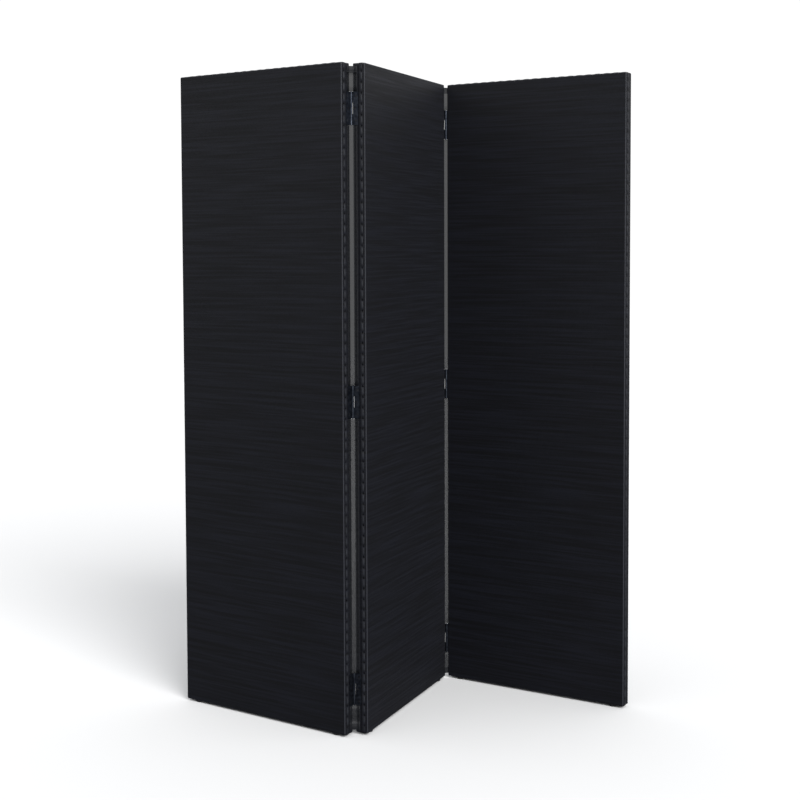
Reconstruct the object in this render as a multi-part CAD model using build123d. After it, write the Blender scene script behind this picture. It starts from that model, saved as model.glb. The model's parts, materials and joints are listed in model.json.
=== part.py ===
"""Folding room divider screen: three cloth-covered panels joined by two rows of butt hinges.

Each panel is a softwood frame of two stiles and three rails, faced on both sides with
hardboard and wrapped in two cloth covers that meet in a tacked seam round its edges.
The left joint has its hinges on the back and the right joint has them on the front, so
the screen folds like an accordion. It stands here half folded, in a zigzag.

Millimetres and degrees, +Z up, front towards -Y, origin under the middle of the screen.
"""
from build123d import *
import math
import os

os.makedirs("parts", exist_ok=True)

# Panels
PANEL_WIDTH = 590.0
PANEL_HEIGHT = 1823.0
COVER_THICKNESS = 0.7
BOARD_THICKNESS = 3.0
TIMBER_DEPTH = 28.0
TIMBER_WIDTH = 45.0
EDGE_RADIUS = 2.5
PANEL_DEPTH = TIMBER_DEPTH + 2 * (BOARD_THICKNESS + COVER_THICKNESS)

# The stance that the screen is shown in: the angle inside each corner, and the way the
# middle panel points, anticlockwise from +X
LEFT_CORNER = 77.2
RIGHT_CORNER = 80.0
MIDDLE_HEADING = 67.2

# Seam and tacks round the edges of a panel, measured from its front face
SEAM_INSET = 7.0
SEAM_GAP = 0.3
TACK_INSET = 9.6
TACK_PITCH = 29.0
TACK_END_MARGIN = 22.0
TACK_HEAD_RADIUS = 2.2
TACK_HEAD_THICKNESS = 0.7
TACK_HEAD_BEVEL = 0.35
TACK_SHANK_WIDTH = 1.1
TACK_LENGTH = 10.0

# Dowels in the frame's corners and middle
DOWEL_RADIUS = 4.0
DOWEL_LENGTH = 40.0
DOWEL_SPACING = 16.0

# Glides under the stiles
GLIDE_RADIUS = 9.0
GLIDE_HEIGHT = 6.0
GLIDE_ROUNDING = 1.5
GLIDE_INSET = 38.0
GLIDE_FORWARD = 6.0
GLIDE_NAIL_RADIUS = 1.3
GLIDE_NAIL_LENGTH = 10.0

# Butt hinges
HINGE_HEIGHT = 88.9
HINGE_INSET = 76.2
LEAF_THICKNESS = 1.6
LEAF_REACH = 16.0
LEAF_CUTBACK = 0.6
LEAF_CORNER_RADIUS = 2.0
KNUCKLE_RADIUS = 4.0
KNUCKLE_GAP = 0.3
PIN_RADIUS = 2.4
PIN_RUNNING_CLEARANCE = 0.05
PIN_END_ROUNDING = 0.8
PIN_PROUD = 1.0
END_FACE_TO_PIN = 2.2
SIDE_FACE_TO_PIN = 4.0

# Hinge screws
SCREW_HEAD_RADIUS = 3.2
SCREW_HEAD_DEPTH = 1.4
SCREW_SHANK_RADIUS = 1.6
SCREW_LENGTH = 18.0
SCREW_TIP_LENGTH = 4.0
SCREW_HEIGHTS = (-33.0, 0.0, 33.0)
SCREW_DEPTHS = (10.5, 6.5, 10.5)
SCREW_RECESS_LENGTH = 3.4
SCREW_RECESS_WIDTH = 0.8
SCREW_RECESS_DEPTH = 1.0

# Cloth strips that close the gap between two panels, above, between and below the hinges
STRIP_THICKNESS = 0.5
STRIP_HEM_THICKNESS = 1.2
STRIP_HEM_HEIGHT = 18.0
STRIP_END_INSET = 8.0
STRIP_HINGE_CLEARANCE = 3.0
STRIP_START_DEPTH = EDGE_RADIUS + 0.3
LEFT_FLANGE = 9.0
RIGHT_FLANGE = 4.0

FIT_CLEARANCE = 0.03

FRONT, BACK = -1, 1
LEFT_END, RIGHT_END = -1, 1

HINGE_LEVELS = {
    "upper": PANEL_HEIGHT - HINGE_INSET - HINGE_HEIGHT / 2,
    "centre": PANEL_HEIGHT / 2,
    "lower": HINGE_INSET + HINGE_HEIGHT / 2,
}


def span(low, high):
    """A box from its low corner to its high corner."""
    size = [b - a for a, b in zip(low, high)]
    middle = [(a + b) / 2 for a, b in zip(low, high)]
    return Pos(*middle) * Box(*size)


def rounded_block(skin, radius):
    """The panel's outer block, made smaller all round by skin, with rounded edges."""
    block = span(
        (-PANEL_WIDTH / 2 + skin, -PANEL_DEPTH / 2 + skin, skin),
        (PANEL_WIDTH / 2 - skin, PANEL_DEPTH / 2 - skin, PANEL_HEIGHT - skin),
    )
    return fillet(block.edges(), radius)


def slab(front, back):
    """Everything in a panel between two depths, both measured from its middle plane."""
    return span(
        (-PANEL_WIDTH, front, -PANEL_WIDTH),
        (PANEL_WIDTH, back, PANEL_HEIGHT + PANEL_WIDTH),
    )


# ---------------------------------------------------------------- small fastenings


def tack():
    """A cut tack with its head's underside at the origin, pointing along +X."""
    point = TACK_SHANK_WIDTH / 4
    shank = loft(
        [
            Rectangle(TACK_SHANK_WIDTH, TACK_SHANK_WIDTH),
            Pos(0, 0, TACK_LENGTH) * Rectangle(point, point),
        ]
    )
    head = Cylinder(
        TACK_HEAD_RADIUS,
        TACK_HEAD_THICKNESS,
        align=(Align.CENTER, Align.CENTER, Align.MIN),
    )
    head = chamfer(head.edges().sort_by(Axis.Z)[-1], TACK_HEAD_BEVEL)
    return Rot(0, 90, 0) * shank + Rot(0, -90, 0) * head


def screw(grow=0.0):
    """A countersunk screw with its head's face at the origin, pointing along +X."""
    head = Cone(
        SCREW_HEAD_RADIUS + grow,
        SCREW_SHANK_RADIUS + grow,
        SCREW_HEAD_DEPTH,
        align=(Align.CENTER, Align.CENTER, Align.MIN),
    )
    straight = SCREW_LENGTH - SCREW_TIP_LENGTH
    shank = Cylinder(
        SCREW_SHANK_RADIUS + grow,
        straight,
        align=(Align.CENTER, Align.CENTER, Align.MIN),
    )
    tip = Pos(0, 0, straight) * Cone(
        SCREW_SHANK_RADIUS + grow,
        SCREW_SHANK_RADIUS / 4 + grow,
        SCREW_TIP_LENGTH + grow,
        align=(Align.CENTER, Align.CENTER, Align.MIN),
    )
    whole = head + shank + tip
    if not grow:
        for turn in (0, 90):
            whole -= Rot(0, 0, turn) * Box(
                SCREW_RECESS_LENGTH, SCREW_RECESS_WIDTH, 2 * SCREW_RECESS_DEPTH
            )
    return Rot(0, 90, 0) * whole


def glide(grow=0.0):
    """A nail-on glide with its nail pointing up and its pad's top at the origin."""
    nail = Cylinder(
        GLIDE_NAIL_RADIUS + grow,
        GLIDE_NAIL_LENGTH + grow,
        align=(Align.CENTER, Align.CENTER, Align.MIN),
    )
    if grow:
        return nail
    pad = Cylinder(
        GLIDE_RADIUS, GLIDE_HEIGHT, align=(Align.CENTER, Align.CENTER, Align.MAX)
    )
    pad = fillet(pad.edges().sort_by(Axis.Z)[0], GLIDE_ROUNDING)
    return nail + pad


def dowel(grow=0.0):
    """A frame dowel lying along X, centred on the joint between rail and stile."""
    return Rot(0, 90, 0) * Cylinder(DOWEL_RADIUS + grow, DOWEL_LENGTH + 2 * grow)


def placed(shape, places):
    """One copy of shape at each place."""
    return [place * shape for place in places]


def group(shapes):
    """Separate solids that are kept together as one node."""
    return Compound(children=[solid for shape in shapes for solid in shape.solids()])


# ---------------------------------------------------------------- where the fastenings go


def even_stations(length):
    """Evenly spaced tack stations along an edge that runs from 0 to length."""
    usable = length - 2 * TACK_END_MARGIN
    count = round(usable / TACK_PITCH)
    return [TACK_END_MARGIN + usable * i / count for i in range(count + 1)]


def under_leaf(height):
    """Whether a tack at this height would lie under a hinge leaf."""
    reach = HINGE_HEIGHT / 2 + TACK_HEAD_RADIUS + 1.0
    return any(abs(height - level) < reach for level in HINGE_LEVELS.values())


def tack_places(hinged_ends):
    """Tacks round all four edges of a panel, except under leaves on its front side."""
    depth = -PANEL_DEPTH / 2 + TACK_INSET
    places = []
    for end in (LEFT_END, RIGHT_END):
        for height in even_stations(PANEL_HEIGHT):
            if hinged_ends.get(end) == FRONT and under_leaf(height):
                continue
            turn = 0 if end == LEFT_END else 180
            places.append(
                Location((end * PANEL_WIDTH / 2, depth, height), (0, 0, turn))
            )
    for along in even_stations(PANEL_WIDTH):
        x = along - PANEL_WIDTH / 2
        places.append(Location((x, depth, 0), (0, -90, 0)))
        places.append(Location((x, depth, PANEL_HEIGHT), (0, 90, 0)))
    return places


def rail_levels():
    """The middle height of each rail, by its name."""
    edge = COVER_THICKNESS + TIMBER_WIDTH / 2
    return {
        "top": PANEL_HEIGHT - edge,
        "middle": PANEL_HEIGHT / 2,
        "bottom": edge,
    }


def dowel_places():
    """Two dowels where each rail meets each stile."""
    x = PANEL_WIDTH / 2 - COVER_THICKNESS - TIMBER_WIDTH
    return [
        Pos(end * x, 0, level + offset)
        for end in (LEFT_END, RIGHT_END)
        for level in rail_levels().values()
        for offset in (-DOWEL_SPACING / 2, DOWEL_SPACING / 2)
    ]


def glide_places():
    """One glide under each stile, a little forward of its middle."""
    x = PANEL_WIDTH / 2 - GLIDE_INSET
    return [Pos(-x, -GLIDE_FORWARD, 0), Pos(x, -GLIDE_FORWARD, 0)]


def pin_place(end, side, level=0.0):
    """The hinge frame at a panel's end: its origin on the pin axis, the panel below -Y."""
    x = end * (PANEL_WIDTH / 2 + END_FACE_TO_PIN)
    y = side * (PANEL_DEPTH / 2 + SIDE_FACE_TO_PIN)
    return Location((x, y, level), (0, 0, 0 if side == BACK else 180))


def screw_places(panel_side):
    """The screws of one leaf in the hinge frame; the panel is on the X side given."""
    x = panel_side * (END_FACE_TO_PIN - LEAF_THICKNESS)
    turn = 0 if panel_side > 0 else 180
    return [
        Location((x, -SIDE_FACE_TO_PIN - depth, height), (0, 0, turn))
        for height, depth in zip(SCREW_HEIGHTS, SCREW_DEPTHS)
    ]


def end_screw_places(end, side):
    """Every hinge screw in one end of a panel, in the panel's frame."""
    return [
        pin_place(end, side, level) * place
        for level in HINGE_LEVELS.values()
        for place in screw_places(-end * side)
    ]


# ---------------------------------------------------------------- hinges


def knuckle_spans(outer):
    """The heights of the two outer knuckles, or of the one between them."""
    third = HINGE_HEIGHT / 3
    if outer:
        return [
            (-HINGE_HEIGHT / 2, -third / 2 - KNUCKLE_GAP / 2),
            (third / 2 + KNUCKLE_GAP / 2, HINGE_HEIGHT / 2),
        ]
    return [(-third / 2 + KNUCKLE_GAP / 2, third / 2 - KNUCKLE_GAP / 2)]


def leaf(panel_side, outer):
    """A hinge leaf with its knuckles, drilled and countersunk for its screws."""
    near = panel_side * (END_FACE_TO_PIN - LEAF_THICKNESS)
    far = panel_side * END_FACE_TO_PIN
    low_x, high_x = sorted((near, far))
    edge = -SIDE_FACE_TO_PIN - LEAF_REACH
    plate = span(
        (low_x, edge, -HINGE_HEIGHT / 2),
        (high_x, -SIDE_FACE_TO_PIN - LEAF_CUTBACK, HINGE_HEIGHT / 2),
    )
    outer_corners = plate.edges().filter_by(Axis.X).group_by(Axis.Y)[0]
    plate = fillet(outer_corners, LEAF_CORNER_RADIUS)
    for low, high in knuckle_spans(outer):
        plate += span((low_x, edge / 2, low), (high_x, 0, high))
        plate += Pos(0, 0, (low + high) / 2) * Cylinder(KNUCKLE_RADIUS, high - low)
    clearance = 0 if outer else PIN_RUNNING_CLEARANCE
    plate -= Cylinder(PIN_RADIUS + clearance, 2 * HINGE_HEIGHT)
    for place in screw_places(panel_side):
        plate -= place * screw(FIT_CLEARANCE)
    return plate


def hinge_pin():
    """The pin, held in the outer knuckles, with a rounded end just proud of each."""
    pin = Cylinder(PIN_RADIUS, HINGE_HEIGHT + 2 * PIN_PROUD)
    return fillet(pin.edges().filter_by(GeomType.CIRCLE), PIN_END_ROUNDING)


# ---------------------------------------------------------------- panels


def panel_nodes(name, hinged_ends):
    """The sub-parts of one panel in its own frame: X along it, front towards -Y."""
    core = rounded_block(COVER_THICKNESS, EDGE_RADIUS - COVER_THICKNESS)
    timber_layer = slab(-TIMBER_DEPTH / 2, TIMBER_DEPTH / 2)
    stile_edge = PANEL_WIDTH / 2 - COVER_THICKNESS - TIMBER_WIDTH
    screws = [p for end, side in hinged_ends.items() for p in end_screw_places(end, side)]
    drills = placed(screw(FIT_CLEARANCE), screws)
    drills += placed(glide(FIT_CLEARANCE), glide_places())
    dowel_holes = placed(dowel(FIT_CLEARANCE), dowel_places())

    nodes = {}
    for label, end in (("left", LEFT_END), ("right", RIGHT_END)):
        inner, outer = sorted((end * stile_edge, end * PANEL_WIDTH))
        blank = span((inner, -PANEL_DEPTH, -1), (outer, PANEL_DEPTH, PANEL_HEIGHT + 1))
        nodes[f"{label}_stile"] = (core & timber_layer & blank) - drills - dowel_holes
    for label, level in rail_levels().items():
        half = TIMBER_WIDTH / 2
        blank = span(
            (-stile_edge, -PANEL_DEPTH, level - half),
            (stile_edge, PANEL_DEPTH, level + half),
        )
        nodes[f"{label}_rail"] = (core & timber_layer & blank) - drills - dowel_holes
    nodes["frame_dowels"] = group(placed(dowel(), dowel_places()))
    nodes["front_board"] = core & slab(-PANEL_DEPTH, -TIMBER_DEPTH / 2)
    nodes["back_board"] = core & slab(TIMBER_DEPTH / 2, PANEL_DEPTH)

    seam = -PANEL_DEPTH / 2 + SEAM_INSET
    skin = rounded_block(0, EDGE_RADIUS) - core
    nodes["front_cover"] = (skin & slab(-PANEL_DEPTH, seam - SEAM_GAP / 2)) - drills
    nodes["back_cover"] = (skin & slab(seam + SEAM_GAP / 2, PANEL_DEPTH)) - drills
    nodes["cover_tacks"] = group(placed(tack(), tack_places(hinged_ends)))
    nodes["glides"] = group(placed(glide(), glide_places()))
    return {f"{name}_panel_{label}": shape for label, shape in nodes.items()}


def panel_place(heading, pin, at):
    """Turns a panel to its heading and carries the pin point in its frame to at."""
    angle = math.radians(heading)
    x = pin.X * math.cos(angle) - pin.Y * math.sin(angle)
    y = pin.X * math.sin(angle) + pin.Y * math.cos(angle)
    return Location((at.X - x, at.Y - y, 0), (0, 0, heading))


# ---------------------------------------------------------------- gap strips


def offset_path(points, distance):
    """A path moved sideways to its left by distance, with mitred corners."""
    normals = []
    for a, b in zip(points, points[1:]):
        along = (b - a).normalized()
        normals.append(Vector(-along.Y, along.X))
    normals = [normals[0], *normals, normals[-1]]
    moved = []
    for point, before, after in zip(points, normals, normals[1:]):
        moved.append(point + (before + after) * (distance / (1 + before.dot(after))))
    return moved


def strip_band(path, thickness, low, high):
    """A length of strip between two heights, as thick as given on the path's left."""
    outline = Polyline(*path, *reversed(offset_path(path, thickness)), close=True)
    return Pos(0, 0, low) * extrude(make_face(outline), high - low)


def strip_path(side, flange, place_a, place_b):
    """The strip's line from the end face of panel a across the gap to that of panel b."""
    depths = (STRIP_START_DEPTH + flange, STRIP_START_DEPTH)
    points = []
    for place, end, order in ((place_a, RIGHT_END, 1), (place_b, LEFT_END, -1)):
        for depth in depths[::order]:
            local = Location(
                (end * PANEL_WIDTH / 2, side * (PANEL_DEPTH / 2 - depth), 0)
            )
            spot = (place * local).position
            points.append(Vector(spot.X, spot.Y))
    return points


def gap_strips(side, flange, place_a, place_b):
    """The four strips of one joint. Those at the ends have a folded hem."""
    path = strip_path(side, flange, place_a, place_b)
    if side == FRONT:
        path = path[::-1]
    half = HINGE_HEIGHT / 2 + STRIP_HINGE_CLEARANCE
    levels = sorted(HINGE_LEVELS.values())
    lows = [STRIP_END_INSET, *[level + half for level in levels]]
    highs = [*[level - half for level in levels], PANEL_HEIGHT - STRIP_END_INSET]
    bands = [
        strip_band(path, -STRIP_THICKNESS, low, high) for low, high in zip(lows, highs)
    ]
    hem_top = lows[0] + STRIP_HEM_HEIGHT
    hem_bottom = highs[-1] - STRIP_HEM_HEIGHT
    bands[0] += strip_band(path, -STRIP_HEM_THICKNESS, lows[0], hem_top)
    bands[-1] += strip_band(path, -STRIP_HEM_THICKNESS, hem_bottom, highs[-1])
    return group(bands)


# ---------------------------------------------------------------- the screen


def joint_nodes(name, side, outer_end, outer_place):
    """The hinges between the middle panel, which holds the pins, and an outer panel."""
    nodes = {}
    middle_end = -outer_end
    for label, level in HINGE_LEVELS.items():
        middle = pin_place(middle_end, side, level)
        outer = outer_place * pin_place(outer_end, side, level)
        hinge = f"{name}_{label}_hinge"
        nodes[f"{hinge}_fixed_leaf"] = middle * leaf(-middle_end * side, outer=True)
        nodes[f"{hinge}_swing_leaf"] = outer * leaf(-outer_end * side, outer=False)
        nodes[f"{hinge}_pin"] = middle * hinge_pin()
    nodes[f"{name}_fixed_screws"] = group(
        placed(screw(), end_screw_places(middle_end, side))
    )
    swing_places = [outer_place * place for place in end_screw_places(outer_end, side)]
    nodes[f"{name}_swing_screws"] = group(placed(screw(), swing_places))
    return nodes


def screen():
    """Every node of the screen, with the middle panel's own frame as the frame."""
    left_pin = pin_place(LEFT_END, BACK).position
    right_pin = pin_place(RIGHT_END, FRONT).position
    left_place = panel_place(
        LEFT_CORNER - 180, pin_place(RIGHT_END, BACK).position, left_pin
    )
    right_place = panel_place(
        RIGHT_CORNER - 180, pin_place(LEFT_END, FRONT).position, right_pin
    )
    middle_place = Location()

    nodes = {}
    for label, place, ends in (
        ("left", left_place, {RIGHT_END: BACK}),
        ("middle", middle_place, {LEFT_END: BACK, RIGHT_END: FRONT}),
        ("right", right_place, {LEFT_END: FRONT}),
    ):
        for node, shape in panel_nodes(label, ends).items():
            nodes[node] = place * shape
    nodes |= joint_nodes("left", BACK, RIGHT_END, left_place)
    nodes |= joint_nodes("right", FRONT, LEFT_END, right_place)
    nodes["left_gap_strips"] = gap_strips(BACK, LEFT_FLANGE, left_place, middle_place)
    nodes["right_gap_strips"] = gap_strips(
        FRONT, RIGHT_FLANGE, middle_place, right_place
    )
    return nodes, {"left_fold": left_pin, "right_fold": right_pin}


def main():
    nodes, pins = screen()
    turn = Rot(0, 0, MIDDLE_HEADING)
    turned = {name: turn * shape for name, shape in nodes.items()}
    boxes = [shape.bounding_box() for shape in turned.values()]
    low = [min(tuple(box.min)[axis] for box in boxes) for axis in range(3)]
    high = [max(tuple(box.max)[axis] for box in boxes) for axis in range(3)]
    stand = Pos(-(low[0] + high[0]) / 2, -(low[1] + high[1]) / 2, -low[2])
    for name, shape in turned.items():
        export_step(stand * shape, f"parts/{name}.step")
    for name, pin in pins.items():
        spot = (stand * turn * Location(pin)).position
        print(f"{name}: pin axis at X {spot.X:.4f}, Y {spot.Y:.4f}")
    size = " x ".join(f"{b - a:.1f}" for a, b in zip(low, high))
    print(f"{len(nodes)} nodes, overall size {size} mm")


main()
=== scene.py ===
"""Folding room divider screen: three cloth-covered panels standing in a zigzag.

The covers and the gap strips are made here, round the boards, stiles and hinges of the
CAD frame. Metres, +Z up, front towards -Y. A panel has its own frame: X along it, Y
towards its back and Z up from its bottom edge, with its origin under its middle.
"""
import json
import math

import bpy
import numpy as np
from mathutils import Matrix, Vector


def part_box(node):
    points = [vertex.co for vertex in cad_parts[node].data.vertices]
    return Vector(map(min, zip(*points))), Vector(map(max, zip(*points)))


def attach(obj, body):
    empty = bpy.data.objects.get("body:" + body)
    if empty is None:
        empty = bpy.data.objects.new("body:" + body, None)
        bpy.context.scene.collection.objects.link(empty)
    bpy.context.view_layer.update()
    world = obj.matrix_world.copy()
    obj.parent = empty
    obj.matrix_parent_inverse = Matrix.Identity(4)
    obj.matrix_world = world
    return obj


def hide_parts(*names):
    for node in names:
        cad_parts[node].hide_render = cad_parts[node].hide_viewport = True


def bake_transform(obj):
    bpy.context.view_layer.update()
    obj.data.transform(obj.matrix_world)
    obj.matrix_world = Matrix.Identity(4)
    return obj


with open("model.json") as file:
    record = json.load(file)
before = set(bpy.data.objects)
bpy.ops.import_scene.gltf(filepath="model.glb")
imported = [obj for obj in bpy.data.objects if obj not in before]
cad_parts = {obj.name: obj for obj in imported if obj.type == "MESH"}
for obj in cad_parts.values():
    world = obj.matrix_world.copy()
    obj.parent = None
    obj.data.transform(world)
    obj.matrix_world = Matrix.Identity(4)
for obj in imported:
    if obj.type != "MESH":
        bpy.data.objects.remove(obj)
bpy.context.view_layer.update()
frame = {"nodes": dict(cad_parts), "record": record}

MM = 0.001
FRONT, BACK = -1, 1
LEFT_END, RIGHT_END = -1, 1
PANELS = ("left", "middle", "right")

# Panels
PANEL_WIDTH = 590 * MM
PANEL_DEPTH = 35.4 * MM
EDGE_RADIUS = 2.5 * MM
CORNER_RADIUS = 3.9 * MM
CORNER_STEPS = 4
CLOTH_THICKNESS = 0.6 * MM

# Seam, hem and tacks round the edges of a panel, measured from its front face
SEAM_INSET = 7.0 * MM
TUCK_UNDER_SEAM = 1.0 * MM
TUCK_DEPTH = 0.3 * MM
HEM_WIDTH = 11.0 * MM
HEM_LIFT = 0.7 * MM
HEM_PUFF = 1.35 * MM
HEM_FULLNESS = (0.75, 1.05)
HEM_SEED = 11
TACK_DIMPLE = 2.0 * MM
TACK_INSET = 9.6 * MM
TACK_PITCH = 29.0 * MM
TACK_END_MARGIN = 22.0 * MM
SAMPLES_PER_PITCH = 8
END_SAMPLES = 6
LEAF_MARGIN = 7.0 * MM

# The face of a cover
FACE_COLUMNS = 40
FACE_LEVELS = 126
FACE_MARGIN = 14.0 * MM
FACE_HOLD = 1.2 * MM
ARRIS_STEPS = 5
RIPPLE_DEPTH = 0.12 * MM
RIPPLE_WAVES = 9
RIPPLE_LENGTHS = (0.09, 0.5)
RIPPLE_FADE = 60 * MM
RIPPLE_SEED = 40

# Gap strips, which run down each panel's end face by the width of a flange
STRIP_THICKNESS = 0.5 * MM
STRIP_HEM_THICKNESS = 1.2 * MM
STRIP_HEM_HEIGHT = 18.0 * MM
STRIP_END_INSET = 8.0 * MM
STRIP_HINGE_CLEARANCE = 0.3 * MM
STRIP_START_DEPTH = 2.8 * MM
STRIP_LIFT = 0.03 * MM
STRIP_BOW = 1.0 * MM
STRIP_ROW = 14.0 * MM
LEFT_FLANGE = 9.0 * MM
RIGHT_FLANGE = 4.0 * MM
FLANGE_POINTS = 5
GAP_POINTS = 7
HINGE_LEVELS = ("lower", "centre", "upper")

# Camera
CAMERA_PLACE = (-0.0100, -4.2223, 1.3302)
CAMERA_LENS = 65.90
CAMERA_PITCH = math.radians(3.227)
CAMERA_YAW = math.radians(0.050)
CAMERA_ROLL = math.radians(0.199)
CAMERA_SHIFT_Y = -0.085

# Finishes
RIB_PITCH = 1.2 * MM
YARN_PITCH = 0.8 * MM
SLUB_STRETCH = (5, 300, 1)
BAR_STRETCH = (3, 110, 1)
YARN_LINES = (0.16, 0.36)
WEAVE_DEPTH = 0.15 * MM
# The lighter cloth of the arrises and hem puffs: partly rubbing, partly a painted highlight where
# light catches the edges.
RUBBED_AND_HIGHLIT_CLOTH = (0.024, 0.026, 0.032, 1)
ARRIS_RUB_AND_HIGHLIGHT = 0.8
HEM_RUB_AND_HIGHLIGHT = 0.65
SHEER = 0.76
HEM_SHEER = 0.97

# Studio
FLOOR_REACH = 14.0
SKY = (0.97, 0.98, 1.0, 1)
WORLD_LIGHT = (0.35, 1.6)
BACKDROP_WHITE = 1.05
FLOOR_TONE = (0.53, 0.55)
FLOOR_BOUNCE = (0.06, 0.06, 0.065, 1)
KEY_STRENGTH = 5.0
KEY_SPREAD = math.radians(36)
KEY_ELEVATION = math.radians(31)
KEY_AZIMUTH = math.radians(27)


# ---------------------------------------------------------------- camera and studio


def make_camera():
    """The camera, in front of the screen and pitched slightly down at it."""
    data = bpy.data.cameras.new("camera")
    data.sensor_width = 36
    data.lens = CAMERA_LENS
    data.shift_y = CAMERA_SHIFT_Y
    camera = bpy.data.objects.new("camera", data)
    turn = (
        Matrix.Rotation(CAMERA_YAW, 4, "Z")
        @ Matrix.Rotation(math.pi / 2 - CAMERA_PITCH, 4, "X")
        @ Matrix.Rotation(-CAMERA_ROLL, 4, "Z")
    )
    camera.matrix_world = Matrix.Translation(CAMERA_PLACE) @ turn
    bpy.context.collection.objects.link(camera)
    bpy.context.scene.camera = camera


def make_floor():
    """A plain pale floor that the screen stands on."""
    reach = FLOOR_REACH
    mesh = bpy.data.meshes.new("studio_floor")
    corners = [(-reach, -reach, 0), (reach, -reach, 0), (reach, reach, 0), (-reach, reach, 0)]
    mesh.from_pydata(corners, [], [(0, 1, 2, 3)])
    floor = bpy.data.objects.new("studio_floor", mesh)
    bpy.context.collection.objects.link(floor)
    floor.data.materials.append(floor_paint())


def make_world():
    """Soft white light, brighter from above, with plain white behind the screen."""
    world = bpy.data.worlds.new("studio")
    bpy.context.scene.world = world
    world.use_nodes = True
    nodes = world.node_tree.nodes
    links = world.node_tree.links
    nodes.clear()
    direction = nodes.new("ShaderNodeTexCoord").outputs["Generated"]
    split = nodes.new("ShaderNodeSeparateXYZ")
    links.new(direction, split.inputs["Vector"])
    light = nodes.new("ShaderNodeBackground")
    links.new(spread(nodes, links, split.outputs["Z"], *WORLD_LIGHT), light.inputs["Strength"])
    light.inputs["Color"].default_value = SKY
    backdrop = nodes.new("ShaderNodeBackground")
    backdrop.inputs["Color"].default_value = (1, 1, 1, 1)
    backdrop.inputs["Strength"].default_value = BACKDROP_WHITE
    output = nodes.new("ShaderNodeOutputWorld")
    mixed = camera_ray_mix(nodes, links, light.outputs["Background"], backdrop.outputs["Background"])
    links.new(mixed, output.inputs["Surface"])


def camera_ray_mix(nodes, links, lighting, seen):
    """One shader that lights the screen, and another that the camera sees directly."""
    paths = nodes.new("ShaderNodeLightPath")
    mix = nodes.new("ShaderNodeMixShader")
    links.new(paths.outputs["Is Camera Ray"], mix.inputs["Fac"])
    links.new(lighting, mix.inputs[1])
    links.new(seen, mix.inputs[2])
    return mix.outputs["Shader"]


def make_key_light():
    """A broad soft light from the front right, which lays a soft shadow at the back left."""
    data = bpy.data.lights.new("key", "SUN")
    data.energy = KEY_STRENGTH
    data.angle = KEY_SPREAD
    key = bpy.data.objects.new("key", data)
    key.rotation_euler = (math.pi / 2 - KEY_ELEVATION, 0, KEY_AZIMUTH)
    bpy.context.collection.objects.link(key)


# ---------------------------------------------------------------- materials


def material(name):
    """A new material with its Principled shader, and its nodes and links."""
    made = bpy.data.materials.new(name)
    made.use_nodes = True
    nodes = made.node_tree.nodes
    shader = nodes["Principled BSDF"]
    return made, nodes, made.node_tree.links, shader


def noise(nodes, links, coordinates, scale, detail, stretch=(1, 1, 1)):
    """A noise texture over these coordinates, stretched along each axis."""
    mapping = nodes.new("ShaderNodeMapping")
    mapping.inputs["Scale"].default_value = stretch
    links.new(coordinates, mapping.inputs["Vector"])
    texture = nodes.new("ShaderNodeTexNoise")
    texture.inputs["Scale"].default_value = scale
    texture.inputs["Detail"].default_value = detail
    links.new(mapping.outputs["Vector"], texture.inputs["Vector"])
    return texture.outputs["Fac"]


def ribs(nodes, links, coordinates, pitch, direction):
    """Even ridges of this pitch in metres, across the X or Y of the coordinates."""
    wave = nodes.new("ShaderNodeTexWave")
    wave.wave_type = "BANDS"
    wave.bands_direction = direction
    wave.wave_profile = "SIN"
    wave.inputs["Scale"].default_value = math.pi / 10 / pitch
    wave.inputs["Distortion"].default_value = 0
    links.new(coordinates, wave.inputs["Vector"])
    return wave.outputs["Fac"]


def ramp(nodes, links, value, low, high, low_at=0.0, high_at=1.0):
    """Turns a value into a colour between two colours."""
    made = nodes.new("ShaderNodeValToRGB")
    made.color_ramp.elements[0].color = (*low, 1)
    made.color_ramp.elements[0].position = low_at
    made.color_ramp.elements[1].color = (*high, 1)
    made.color_ramp.elements[1].position = high_at
    links.new(value, made.inputs["Fac"])
    return made.outputs["Color"]


def spread(nodes, links, value, low, high, low_at=0.0, high_at=1.0):
    """Turns a value between low_at and high_at into one from low to high."""
    made = nodes.new("ShaderNodeMapRange")
    made.inputs["From Min"].default_value = low_at
    made.inputs["From Max"].default_value = high_at
    made.inputs["To Min"].default_value = low
    made.inputs["To Max"].default_value = high
    links.new(value, made.inputs["Value"])
    return made.outputs["Result"]


def combine(nodes, links, first, second, operation):
    """Two values joined by a Math node."""
    made = nodes.new("ShaderNodeMath")
    made.operation = operation
    links.new(first, made.inputs[0])
    links.new(second, made.inputs[1])
    return made.outputs["Value"]


def bump(nodes, links, shader, height, distance, strength):
    """Lays a height over the shader as a bump this deep in metres."""
    made = nodes.new("ShaderNodeBump")
    made.inputs["Distance"].default_value = distance
    made.inputs["Strength"].default_value = strength
    links.new(height, made.inputs["Height"])
    links.new(made.outputs["Normal"], shader.inputs["Normal"])


def object_coordinates(nodes):
    """Metres in the object's own axes."""
    return nodes.new("ShaderNodeTexCoord").outputs["Object"]


def weave_coordinates(nodes):
    """Metres along and up the cloth, laid flat."""
    made = nodes.new("ShaderNodeUVMap")
    made.uv_map = "weave"
    return made.outputs["UV"]


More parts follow.
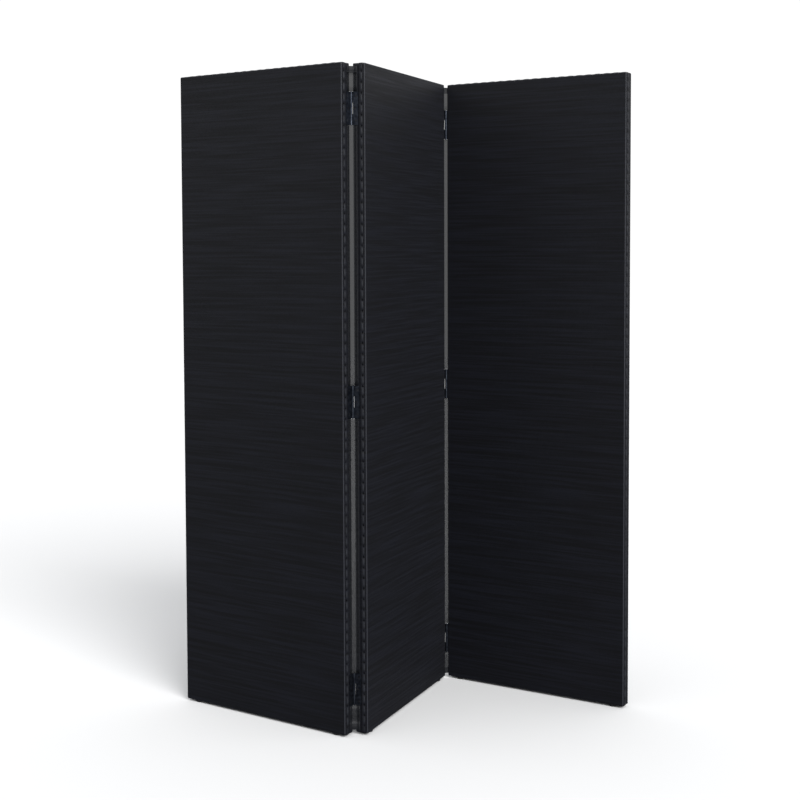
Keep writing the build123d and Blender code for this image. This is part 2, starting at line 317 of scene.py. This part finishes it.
def woven_cloth(name, dark, light, roughness, specular, opacity=1.0):
    """Black cloth with a fine crosswise rib, uneven yarns and a faint nap, lighter at its arrises
    and hem puffs from rubbing and a painted highlight.
    """
    made, nodes, links, shader = material(name)
    cloth = weave_coordinates(nodes)
    rib = ribs(nodes, links, cloth, RIB_PITCH, "Y")
    yarn = ribs(nodes, links, cloth, YARN_PITCH, "X")
    slubs = noise(nodes, links, cloth, 1.0, 2.0, SLUB_STRETCH)
    bars = noise(nodes, links, cloth, 1.0, 1.0, BAR_STRETCH)
    lines = combine(nodes, links, slubs, bars, "MULTIPLY")
    colour = ramp(nodes, links, lines, dark, light, *YARN_LINES)
    # Lighter cloth mixed in on the arrises and hem puffs: partly rubbing, partly a painted
    # highlight.
    rubbed_and_highlit = nodes.new("ShaderNodeMix")
    rubbed_and_highlit.data_type = "RGBA"
    rub_and_highlight = nodes.new("ShaderNodeAttribute")
    rub_and_highlight.attribute_name = "rub_and_highlight"
    links.new(rub_and_highlight.outputs["Fac"], rubbed_and_highlit.inputs["Factor"])
    links.new(colour, rubbed_and_highlit.inputs["A"])
    rubbed_and_highlit.inputs["B"].default_value = RUBBED_AND_HIGHLIT_CLOTH
    links.new(rubbed_and_highlit.outputs["Result"], shader.inputs["Base Color"])
    links.new(spread(nodes, links, lines, *roughness, *YARN_LINES), shader.inputs["Roughness"])
    height = combine(nodes, links, combine(nodes, links, rib, yarn, "MULTIPLY"), lines, "ADD")
    bump(nodes, links, shader, height, WEAVE_DEPTH, 0.6)
    shader.inputs["Specular IOR Level"].default_value = specular
    shader.inputs["Sheen Weight"].default_value = 0.02
    shader.inputs["Sheen Roughness"].default_value = 0.4
    shader.inputs["Alpha"].default_value = opacity
    return made


def cover_cloth():
    """The black cloth of the panels' covers."""
    return woven_cloth(
        "cover_cloth", (0.0008, 0.0010, 0.0022), (0.0054, 0.0060, 0.0094), (0.54, 0.42), 0.26
    )


def gap_cloth(name, opacity):
    """The thin sheer cloth of the gap strips, which lets a little light through."""
    return woven_cloth(
        name, (0.0045, 0.0050, 0.0064), (0.0070, 0.0078, 0.0098), (0.5, 0.62), 0.22, opacity
    )


def worn_metal(name, dark, light, roughness, grain):
    """Metal with a mottled finish and fine scratches."""
    made, nodes, links, shader = material(name)
    place = object_coordinates(nodes)
    mottle = noise(nodes, links, place, 130.0, 4.0)
    scratches = noise(nodes, links, place, 1.0, 2.0, grain)
    links.new(ramp(nodes, links, mottle, dark, light, 0.35, 0.7), shader.inputs["Base Color"])
    links.new(spread(nodes, links, scratches, *roughness), shader.inputs["Roughness"])
    bump(nodes, links, shader, scratches, 0.02 * MM, 0.4)
    shader.inputs["Metallic"].default_value = 1
    return made


def hinge_steel():
    """Dark blued steel of the hinge leaves."""
    return worn_metal(
        "hinge_steel", (0.024, 0.028, 0.038), (0.07, 0.08, 0.10), (0.30, 0.48), (500, 500, 4000)
    )


def pin_steel():
    """Bright steel of the hinge pins."""
    return worn_metal(
        "pin_steel", (0.22, 0.22, 0.23), (0.42, 0.42, 0.43), (0.2, 0.38), (900, 900, 300)
    )


def screw_steel():
    """Dark steel of the hinge screws."""
    return worn_metal(
        "screw_steel", (0.03, 0.03, 0.034), (0.11, 0.11, 0.12), (0.3, 0.5), (700, 700, 700)
    )


def tack_steel():
    """Blued steel tacks, worn a little on their heads."""
    return worn_metal(
        "tack_steel", (0.003, 0.003, 0.004), (0.016, 0.017, 0.02), (0.4, 0.6), (800, 800, 800)
    )


def glide_plastic():
    """Hard black nylon with a fine moulded texture, scuffed from the floor."""
    made, nodes, links, shader = material("glide_plastic")
    place = object_coordinates(nodes)
    scuffs = noise(nodes, links, place, 160.0, 5.0)
    texture = noise(nodes, links, place, 1400.0, 2.0)
    tone = ramp(nodes, links, scuffs, (0.006, 0.006, 0.007), (0.022, 0.022, 0.023), 0.4, 0.8)
    links.new(tone, shader.inputs["Base Color"])
    links.new(spread(nodes, links, scuffs, 0.38, 0.62), shader.inputs["Roughness"])
    bump(nodes, links, shader, texture, 0.03 * MM, 0.5)
    return made


def timber(name, dark, light, along):
    """Sawn softwood whose grain runs along one axis: 0 for X and 2 for Z."""
    made, nodes, links, shader = material(name)
    place = object_coordinates(nodes)
    stretch = [70.0, 70.0, 70.0]
    stretch[along] = 2.5
    grain = noise(nodes, links, place, 1.0, 6.0, stretch)
    pores = noise(nodes, links, place, 9.0, 3.0, stretch)
    links.new(ramp(nodes, links, grain, dark, light, 0.3, 0.7), shader.inputs["Base Color"])
    links.new(spread(nodes, links, pores, 0.6, 0.8), shader.inputs["Roughness"])
    bump(nodes, links, shader, pores, 0.15 * MM, 0.5)
    return made


def hardboard():
    """Brown hardboard with short fibres pressed every way."""
    made, nodes, links, shader = material("facing_board")
    place = object_coordinates(nodes)
    fibres = noise(nodes, links, place, 420.0, 6.0)
    clouds = noise(nodes, links, place, 12.0, 3.0)
    tone = combine(nodes, links, fibres, clouds, "MULTIPLY")
    colour = ramp(nodes, links, tone, (0.10, 0.055, 0.028), (0.24, 0.15, 0.085), 0.15, 0.4)
    links.new(colour, shader.inputs["Base Color"])
    links.new(spread(nodes, links, fibres, 0.5, 0.75), shader.inputs["Roughness"])
    bump(nodes, links, shader, fibres, 0.1 * MM, 0.5)
    return made


def floor_paint():
    """The matt white of the studio floor, which throws little light back on the screen."""
    made, nodes, links, shader = material("studio_white")
    place = object_coordinates(nodes)
    clouds = noise(nodes, links, place, 0.6, 2.0)
    dark, light = FLOOR_TONE
    tone = ramp(nodes, links, clouds, (dark, dark, dark), (light, light, light))
    links.new(tone, shader.inputs["Base Color"])
    links.new(spread(nodes, links, clouds, 0.85, 0.95), shader.inputs["Roughness"])
    shader.inputs["Specular IOR Level"].default_value = 0.1
    bounce = nodes.new("ShaderNodeBsdfDiffuse")
    bounce.inputs["Color"].default_value = FLOOR_BOUNCE
    mixed = camera_ray_mix(nodes, links, bounce.outputs["BSDF"], shader.outputs["BSDF"])
    links.new(mixed, nodes["Material Output"].inputs["Surface"])
    return made


# ---------------------------------------------------------------- panel frames


def box_centre(node):
    """The middle of a CAD node's box."""
    low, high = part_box(node)
    return (np.array(low) + np.array(high)) / 2


def panel_frame(name):
    """The panel's own frame as a matrix, from its two stiles and its cover."""
    left = box_centre(f"{name}_panel_left_stile")
    right = box_centre(f"{name}_panel_right_stile")
    along = (right - left)[:2] / np.linalg.norm((right - left)[:2])
    middle = (left + right) / 2
    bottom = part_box(f"{name}_panel_front_cover")[0][2]
    return np.array(
        [
            [along[0], -along[1], 0, middle[0]],
            [along[1], along[0], 0, middle[1]],
            [0, 0, 1, bottom],
            [0, 0, 0, 1],
        ]
    )


def panel_height(name):
    """The height of a panel, from the box of its front cover."""
    low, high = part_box(f"{name}_panel_front_cover")
    return high[2] - low[2]


def to_row(points, matrix):
    """Points from a panel's frame to the row frame."""
    return np.asarray(points) @ matrix[:3, :3].T + matrix[:3, 3]


def leaf_spans(name, end):
    """The heights that hinge leaves cover at this end of a panel where they sit on the hem."""
    if (name, end) not in (("middle", RIGHT_END), ("right", LEFT_END)):
        return []
    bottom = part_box(f"{name}_panel_front_cover")[0][2]
    spans = []
    for level in HINGE_LEVELS:
        low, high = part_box(f"right_{level}_hinge_fixed_leaf")
        spans.append((low[2] - bottom, high[2] - bottom))
    return spans


# ---------------------------------------------------------------- the cloth covers


def smooth(value):
    """An even step from 0 to 1 as the value goes from 0 to 1."""
    value = np.clip(value, 0, 1)
    return value * value * (3 - 2 * value)


def tack_stations(length):
    """Evenly spaced tack stations along an edge that runs from 0 to length."""
    usable = length - 2 * TACK_END_MARGIN
    count = round(usable / TACK_PITCH)
    return TACK_END_MARGIN + usable * np.arange(count + 1) / count


def edge_samples(length):
    """Sample places along a straight edge, between its two rounded corners."""
    tacks = tack_stations(length)
    start = np.linspace(CORNER_RADIUS, tacks[0], END_SAMPLES)[:-1]
    middle = np.linspace(tacks[0], tacks[-1], SAMPLES_PER_PITCH * (len(tacks) - 1) + 1)
    return np.concatenate([start, middle, (length - start)[::-1]])


def edge_swell(places, length, pressed_spans, random):
    """Each place's share of the hem's swell, distance to a tack and freedom from the leaves."""
    tacks = tack_stations(length)
    fullness = random.uniform(*HEM_FULLNESS, len(tacks) + 1)
    swell = np.zeros(len(places))
    gap = np.searchsorted(tacks, places, side="right")
    for i, place in enumerate(places):
        low = tacks[gap[i] - 1] if gap[i] > 0 else tacks[0] - TACK_PITCH
        high = tacks[gap[i]] if gap[i] < len(tacks) else tacks[-1] + TACK_PITCH
        swell[i] = fullness[gap[i]] * math.sin(math.pi * (place - low) / (high - low))
    ends = np.minimum(places, length - places)
    swell *= smooth(ends / TACK_END_MARGIN)
    free = np.ones(len(places))
    for low, high in pressed_spans:
        outside = np.maximum(low - places, places - high)
        free = np.minimum(free, smooth(outside / LEAF_MARGIN))
    nearest = np.abs(places[:, None] - tacks[None, :]).min(axis=1)
    return swell, nearest, free


def cover_outline(name):
    """Samples round a panel's rounded outline, anticlockwise seen from the front.

    Each has its X and Z, its outward direction in X and Z, and what edge_swell gives.
    """
    height = panel_height(name)
    half = PANEL_WIDTH / 2
    random = np.random.default_rng(HEM_SEED + PANELS.index(name))
    samples = []
    sides = (
        ("bottom", PANEL_WIDTH, []),
        ("right", height, leaf_spans(name, RIGHT_END)),
        ("top", PANEL_WIDTH, []),
        ("left", height, leaf_spans(name, LEFT_END)),
    )
    for index, (side, length, pressed) in enumerate(sides):
        places = edge_samples(length)
        swell, nearest, free = edge_swell(places, length, pressed, random)
        x, z, nx, nz = {
            "bottom": (places - half, 0, 0, -1),
            "right": (half, places, 1, 0),
            "top": (places - half, height, 0, 1),
            "left": (-half, places, -1, 0),
        }[side]
        columns = np.broadcast_arrays(x, z, nx, nz, swell, nearest, free)
        edge = np.stack(columns, axis=1)
        samples.extend(edge[::-1] if side in ("top", "left") else edge)
        centre_x = half - CORNER_RADIUS if side in ("bottom", "right") else CORNER_RADIUS - half
        centre_z = height - CORNER_RADIUS if side in ("right", "top") else CORNER_RADIUS
        for step in range(1, CORNER_STEPS):
            angle = math.radians(90 * (index - 1 + step / CORNER_STEPS))
            nx, nz = math.cos(angle), math.sin(angle)
            x = centre_x + CORNER_RADIUS * nx
            z = centre_z + CORNER_RADIUS * nz
            samples.append((x, z, nx, nz, 0.0, TACK_END_MARGIN, 1.0))
    return np.array(samples)


def wall_rows(side):
    """Rows of a cover down a panel's edge, from the seam: depth, lift off the edge and swell."""
    if side == FRONT:
        return [
            (SEAM_INSET + TUCK_UNDER_SEAM, -TUCK_DEPTH, 0),
            (SEAM_INSET + 0.4 * MM, -TUCK_DEPTH / 2, 0),
            (SEAM_INSET - 0.4 * MM, 0, 0),
            (SEAM_INSET - 2.4 * MM, 0, 0),
        ]
    hem_end = SEAM_INSET + HEM_WIDTH
    return [
        (SEAM_INSET + 0.7 * MM, -TUCK_DEPTH, 0),
        (SEAM_INSET + 0.15 * MM, -0.05 * MM, 0),
        (SEAM_INSET, 0.25 * MM, 0),
        (SEAM_INSET + 0.15 * MM, 0.55 * MM, 0.1),
        (SEAM_INSET + 0.6 * MM, HEM_LIFT, 0.3),
        (SEAM_INSET + 1.6 * MM, HEM_LIFT, 0.75),
        (SEAM_INSET + 2.6 * MM, HEM_LIFT, 0.95),
        (SEAM_INSET + 3.8 * MM, HEM_LIFT, 1.0),
        (SEAM_INSET + 5.2 * MM, HEM_LIFT, 0.85),
        (SEAM_INSET + 7.0 * MM, HEM_LIFT, 0.5),
        (hem_end - 1.8 * MM, HEM_LIFT, 0.2),
        (hem_end - 0.6 * MM, 0.9 * HEM_LIFT, 0.05),
        (hem_end, 0.5 * HEM_LIFT, 0),
        (hem_end + 0.35 * MM, 0, 0),
        (hem_end + 3.0 * MM, 0, 0),
        (hem_end + 9.0 * MM, 0, 0),
    ]


def cover_rows(side):
    """Rows of a cover from the seam to its face: depth, inset, lift, swell, reach and
    rub_and_highlight, the lighter cloth of rubbing and a painted highlight.

    Depth is measured from the panel's front. Reach is how far outside the panel's outline
    the row lies when the cloth is laid flat.
    """
    rows = []
    for depth, lift, swell in wall_rows(side):
        own_depth = depth if side == FRONT else PANEL_DEPTH - depth
        reach = own_depth + (math.pi / 2 - 2) * EDGE_RADIUS
        rows.append((depth, 0, lift, swell, reach, 0))
    for angle in np.radians(np.linspace(90, 0, ARRIS_STEPS + 1)):
        own_depth = EDGE_RADIUS * (1 - math.cos(angle))
        inset = EDGE_RADIUS * (1 - math.sin(angle))
        depth = own_depth if side == FRONT else PANEL_DEPTH - own_depth
        # Lightest at the middle of the arris bend: partly rubbing, partly a painted highlight.
        rub_and_highlight = ARRIS_RUB_AND_HIGHLIGHT * math.sin(2 * angle)
        rows.append((depth, inset, 0, 0, EDGE_RADIUS * (angle - 1), rub_and_highlight))
    face = 0 if side == FRONT else PANEL_DEPTH
    rows.append((face, EDGE_RADIUS + FACE_HOLD, 0, 0, -EDGE_RADIUS - FACE_HOLD, 0))
    return rows


def face_ripple(x, z, seed):
    """The slight unevenness of cloth pulled over a board, from -1 to 1."""
    random = np.random.default_rng(seed)
    total = np.zeros_like(x)
    for _ in range(RIPPLE_WAVES):
        wavelength = random.uniform(*RIPPLE_LENGTHS)
        heading = random.uniform(0, 2 * math.pi)
        phase = random.uniform(0, 2 * math.pi)
        along = x * math.cos(heading) + z * math.sin(heading)
        total += np.sin(2 * math.pi * along / wavelength + phase) / RIPPLE_WAVES
    return total


def zip_loops(outer, inner, outer_at, inner_at):
    """Triangles between two closed loops, matched by how far round each point is.

    The loop whose next point comes first steps on. One that has come full circle waits.
    """
    triangles = []
    i = j = 0
    while i < len(outer) or j < len(inner):
        next_outer = outer_at[i + 1] if i + 1 < len(outer) else 1.0 + (i >= len(outer))
        next_inner = inner_at[j + 1] if j + 1 < len(inner) else 1.0 + (j >= len(inner))
        a = outer[i % len(outer)]
        b = inner[j % len(inner)]
        if next_outer <= next_inner:
            i += 1
            triangles.append((a, outer[i % len(outer)], b))
        else:
            j += 1
            triangles.append((a, inner[j % len(inner)], b))
    return triangles


def round_the_corner(x, z, half_width, half_height):
    """How far round a rectangle a point is, from 0 at its lower left corner to 1."""
    across = (x + half_width) / (2 * half_width)
    up = (z + half_height) / (2 * half_height)
    distances = [up, 1 - across, 1 - up, across]
    side = int(np.argmin(distances))
    return (side + [across, up, 1 - across, 1 - up][side]) / 4


class Surface:
    """Points, their places on the flat cloth, how much rubbing and painted highlight lighten them,
    and faces.
    """

    def __init__(self):
        self.points = []
        self.flat = []
        self.rub_and_highlight = []
        self.faces = []

    def add(self, points, flat, rub_and_highlight=0.0):
        start = len(self.points)
        self.points.extend(map(tuple, points))
        self.flat.extend(map(tuple, flat))
        self.rub_and_highlight.extend(np.broadcast_to(rub_and_highlight, len(points)))
        return np.arange(start, start + len(points))


def bridge(surface, lower, upper):
    """Quads between two closed rows of as many points."""
    count = len(lower)
    for i in range(count):
        j = (i + 1) % count
        surface.faces.append((lower[i], lower[j], upper[j], upper[i]))


def point_normals(points, faces):
    """Unit normals at the points of a surface of quads and triangles."""
    normals = np.zeros_like(points)
    for size in (3, 4):
        group = np.array([face for face in faces if len(face) == size])
        if len(group) == 0:
            continue
        corners = points[group]
        across = corners[:, 2] - corners[:, 0]
        other = corners[:, -1] - corners[:, 1]
        face_normals = np.cross(across, other)
        for column in range(size):
            np.add.at(normals, group[:, column], face_normals)
    return normals / np.linalg.norm(normals, axis=1, keepdims=True)


def close_cloth(surface, edge, thickness):
    """Gives the surface an inner face behind it, joined along its one open edge."""
    points = np.array(surface.points)
    inner = points - thickness * point_normals(points, surface.faces)
    count = len(points)
    faces = list(surface.faces)
    faces += [tuple(corner + count for corner in face[::-1]) for face in surface.faces]
    for i in range(len(edge)):
        a, b = edge[i], edge[(i + 1) % len(edge)]
        faces.append((b, a, a + count, b + count))
    surface.points = np.concatenate([points, inner])
    surface.flat = surface.flat * 2
    surface.rub_and_highlight = surface.rub_and_highlight * 2
    surface.faces = faces


def cloth_object(name, surface):
    """A smooth-shaded mesh object whose weave follows the flat cloth."""
    mesh = bpy.data.meshes.new(name)
    faces = [tuple(int(i) for i in face) for face in surface.faces]
    mesh.from_pydata([tuple(point) for point in surface.points], [], faces)
    weave = mesh.uv_layers.new(name="weave")
    corners = np.zeros(len(mesh.loops), dtype=np.int32)
    mesh.loops.foreach_get("vertex_index", corners)
    weave.data.foreach_set("uv", np.array(surface.flat)[corners].astype(np.float32).ravel())
    # Each point's share of the lighter cloth, from rubbing and a painted highlight.
    rub_and_highlight = mesh.attributes.new("rub_and_highlight", "FLOAT", "POINT")
    rub_and_highlight.data.foreach_set("value", np.array(surface.rub_and_highlight, dtype=np.float32))
    mesh.shade_smooth()
    made = bpy.data.objects.new(name, mesh)
    bpy.context.collection.objects.link(made)
    return made


def cover_surface(name, side):
    """One cover of a panel in the panel's own frame, and its open edge at the seam."""
    outline = cover_outline(name)
    x, z, nx, nz, swell, nearest, free = outline.T
    height = panel_height(name)
    surface = Surface()
    loops = []
    for depth, inset, lift, swell_share, reach, rub_and_highlight in cover_rows(side):
        to_tack = np.hypot(nearest, depth - TACK_INSET)
        risen = smooth((to_tack - TACK_DIMPLE) / (2 * TACK_DIMPLE))
        puff = swell_share * swell * risen * free
        out = max(lift, 0) * risen * free + HEM_PUFF * puff + min(lift, 0) - inset
        points = np.stack([x + nx * out, np.full_like(x, depth - PANEL_DEPTH / 2), z + nz * out], 1)
        flat = np.stack([x + nx * reach, z + nz * reach], 1)
        # The tops of the hem puffs are lightened too: a painted highlight with some rubbing.
        loops.append(surface.add(points, flat, rub_and_highlight + HEM_RUB_AND_HIGHLIGHT * puff))
    for lower, upper in zip(loops, loops[1:]):
        bridge(surface, lower, upper)
    inner_face(surface, loops[-1], height, name, side)
    if side == BACK:
        surface.faces = [face[::-1] for face in surface.faces]
    return surface, loops[0]


def inner_face(surface, rim, height, name, side):
    """The coarse grid of a cover's face, zipped to its fine rim."""
    outset = EDGE_RADIUS + FACE_HOLD
    margin = outset + FACE_MARGIN
    columns = np.linspace(margin - PANEL_WIDTH / 2, PANEL_WIDTH / 2 - margin, FACE_COLUMNS)
    levels = np.linspace(margin, height - margin, FACE_LEVELS)
    x, z = np.meshgrid(columns, levels)
    edge_distance = np.minimum(PANEL_WIDTH / 2 - abs(x), np.minimum(z, height - z))
    fade = smooth((edge_distance - margin) / RIPPLE_FADE)
    seed = RIPPLE_SEED + 2 * PANELS.index(name) + (side == BACK)
    ripple = RIPPLE_DEPTH * face_ripple(x, z, seed) * fade
    y = side * (PANEL_DEPTH / 2 + ripple)
    points = np.stack([x.ravel(), y.ravel(), z.ravel()], 1)
    grid = surface.add(points, points[:, [0, 2]]).reshape(x.shape)
    for lower, upper in zip(grid, grid[1:]):
        for i in range(len(lower) - 1):
            surface.faces.append((lower[i], lower[i + 1], upper[i + 1], upper[i]))
    ring = np.concatenate([grid[0, :-1], grid[:-1, -1], grid[-1, :0:-1], grid[:0:-1, 0]])
    places = np.array(surface.points)

    def places_round(loop, half_width, half_height):
        return [
            round_the_corner(places[i, 0], places[i, 2] - height / 2, half_width, half_height)
            for i in loop
        ]

    rim_at = places_round(rim, PANEL_WIDTH / 2 - outset, height / 2 - outset)
    start = int(np.argmin(rim_at))
    rim = np.roll(rim, -start)
    rim_at = np.roll(rim_at, -start)
    ring_at = places_round(ring, PANEL_WIDTH / 2 - margin, height / 2 - margin)
    surface.faces.extend(zip_loops(rim, ring, rim_at, ring_at))


def make_cover(name, side):
    """One cloth cover of a panel, in place of its CAD shell."""
    label = "front" if side == FRONT else "back"
    surface, edge = cover_surface(name, side)
    close_cloth(surface, edge, CLOTH_THICKNESS)
    surface.points = to_row(surface.points, panel_frame(name))
    cover = cloth_object(f"{name}_panel_{label}_cloth", surface)
    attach(cover, f"{name}_panel")
    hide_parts(f"{name}_panel_{label}_cover")
    return cover


# ---------------------------------------------------------------- the gap strips


def flange_line(side, flange, end, matrix):
    """A strip's line in plan down one end face, ending at the edge of the gap."""
    depths = STRIP_START_DEPTH + flange * np.linspace(1, 0, FLANGE_POINTS)
    return np.array(
        [
            to_row((end * PANEL_WIDTH / 2, side * (PANEL_DEPTH / 2 - depth), 0), matrix)[:2]
            for depth in depths
        ]
    )


def strip_outline(side, flange, frame_a, frame_b):
    """A strip's line in plan, with the panels on its left, bowed a little over the gap."""
    start = flange_line(side, flange, RIGHT_END, frame_a)
    finish = flange_line(side, flange, LEFT_END, frame_b)[::-1]
    if side == FRONT:
        start, finish = finish[::-1], start[::-1]
    a, b = start[-1], finish[0]
    across = (b - a) / np.linalg.norm(b - a)
    outward = np.array([across[1], -across[0]])
    shares = np.linspace(0, 1, GAP_POINTS + 2)[1:-1, None]
    span = a + (b - a) * shares + outward * STRIP_BOW * np.sin(math.pi * shares)
    return np.concatenate([start, span, finish])


def strip_section(outline, thickness):
    """A closed section: the strip's outer line and back along its inner one."""
    ahead = np.gradient(outline, axis=0)
    ahead /= np.linalg.norm(ahead, axis=1, keepdims=True)
    outward = np.stack([ahead[:, 1], -ahead[:, 0]], axis=1)
    outer = outline + outward * thickness
    inner = outline + outward * STRIP_LIFT
    return np.concatenate([outer, inner[::-1]])


def strip_levels(low, high, hem_at_bottom, hem_at_top):
    """The heights of a strip's rows, and its thickness at each."""
    rows = [(z, STRIP_THICKNESS) for z in (*np.arange(low, high, STRIP_ROW), high)]
    if hem_at_bottom:
        rows = [row for row in rows if row[0] > low + STRIP_HEM_HEIGHT + MM]
        rows = hem_rows(low, 1) + rows
    if hem_at_top:
        rows = [row for row in rows if row[0] < high - STRIP_HEM_HEIGHT - MM]
        rows = rows + hem_rows(high, -1)[::-1]
    return rows


def hem_rows(end, inward):
    """Rows of a folded hem, from its rounded fold to the edge turned under."""
    places = (
        (0, 0.45),
        (0.3 * MM, 0.85),
        (0.9 * MM, 1),
        (STRIP_HEM_HEIGHT / 2, 1),
        (STRIP_HEM_HEIGHT - 3.2 * MM, 1),
        (STRIP_HEM_HEIGHT - 2.6 * MM, 0.8),
        (STRIP_HEM_HEIGHT - 2.0 * MM, 1),
        (STRIP_HEM_HEIGHT - 0.4 * MM, 1),
    )
    rows = [(end + inward * z, share * STRIP_HEM_THICKNESS) for z, share in places]
    rows.append((end + inward * STRIP_HEM_HEIGHT, STRIP_THICKNESS))
    return rows


def strip_lengths(joint):
    """The low and high end of each strip of a joint, between its hinges."""
    low_end, high_end = (v[2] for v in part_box("middle_panel_front_cover"))
    clear = STRIP_HINGE_CLEARANCE
    hinges = [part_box(f"{joint}_{level}_hinge_fixed_leaf") for level in HINGE_LEVELS]
    lows = [low_end + STRIP_END_INSET, *[high[2] + clear for _, high in hinges]]
    highs = [*[low[2] - clear for low, _ in hinges], high_end - STRIP_END_INSET]
    return list(zip(lows, highs))


def make_strips(joint, side, flange, panel_a, panel_b):
    """The sheer strips that close one gap, in place of their CAD solids."""
    frame_a, frame_b = panel_frame(panel_a), panel_frame(panel_b)
    outline = strip_outline(side, flange, frame_a, frame_b)
    steps = np.linalg.norm(np.diff(outline, axis=0), axis=1)
    run = np.concatenate([[0], np.cumsum(steps)])
    surface = Surface()
    lengths = strip_lengths(joint)
    for index, (low, high) in enumerate(lengths):
        loops = []
        for z, thickness in strip_levels(low, high, index == 0, index == len(lengths) - 1):
            section = strip_section(outline, thickness)
            points = np.column_stack([section, np.full(len(section), z)])
            flat = np.column_stack([np.concatenate([run, run[::-1]]), np.full(len(section), z)])
            loops.append(surface.add(points, flat))
        for lower, upper in zip(loops, loops[1:]):
            bridge(surface, lower, upper)
        count = len(outline)
        for i in range(count - 1):
            mirror = 2 * count - 1 - i
            bottom = loops[0]
            top = loops[-1]
            surface.faces.append((bottom[i], bottom[mirror], bottom[mirror - 1], bottom[i + 1]))
            surface.faces.append((top[i], top[i + 1], top[mirror - 1], top[mirror]))
    strips = cloth_object(f"{joint}_gap_cloth", surface)
    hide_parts(f"{joint}_gap_strips")
    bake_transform(strips)
    return strips


# ---------------------------------------------------------------- the whole scene


def finish_cad_nodes():
    """Gives every CAD node that still shows the material of its slot."""
    finishes = {
        "facing_board": hardboard(),
        "dowel_wood": timber("dowel_wood", (0.45, 0.30, 0.16), (0.62, 0.45, 0.27), 0),
        "tack_steel": tack_steel(),
        "glide_plastic": glide_plastic(),
        "hinge_steel": hinge_steel(),
        "pin_steel": pin_steel(),
        "screw_steel": screw_steel(),
    }
    upright = timber("stile_timber", (0.40, 0.26, 0.13), (0.62, 0.46, 0.28), 2)
    level = timber("rail_timber", (0.40, 0.26, 0.13), (0.62, 0.46, 0.28), 0)
    for part in frame["record"]["subparts"]:
        node = frame["nodes"][part["node"]]
        slot = part["material_slot"]
        if node.hide_render:
            continue
        if slot == "frame_timber":
            finish = upright if "stile" in part["node"] else level
        else:
            finish = finishes[slot]
        node.data.materials.clear()
        node.data.materials.append(finish)


def dress(pieces, finish):
    """Adds a material to each of these pieces."""
    for piece in pieces:
        piece.data.materials.append(finish)


def finish_hems(strip):
    """Gives the hemmed ends of a set of gap strips their second material."""
    heights = [vertex.co.z for vertex in strip.data.vertices]
    low = min(heights) + STRIP_HEM_HEIGHT
    high = max(heights) - STRIP_HEM_HEIGHT
    for face in strip.data.polygons:
        face.material_index = int(not low < face.center.z < high)


def make_screen():
    """The covers, the gap strips and the finishes of everything that shows."""
    covers = [make_cover(name, side) for name in PANELS for side in (FRONT, BACK)]
    dress(covers, cover_cloth())
    strips = [
        make_strips("left", BACK, LEFT_FLANGE, "left", "middle"),
        make_strips("right", FRONT, RIGHT_FLANGE, "middle", "right"),
    ]
    dress(strips, gap_cloth("gap_cloth", SHEER))
    dress(strips, gap_cloth("gap_hem", HEM_SHEER))
    for strip in strips:
        finish_hems(strip)
    finish_cad_nodes()


bpy.context.scene.view_settings.view_transform = "Standard"
make_camera()
make_floor()
make_world()
make_key_light()
make_screen()
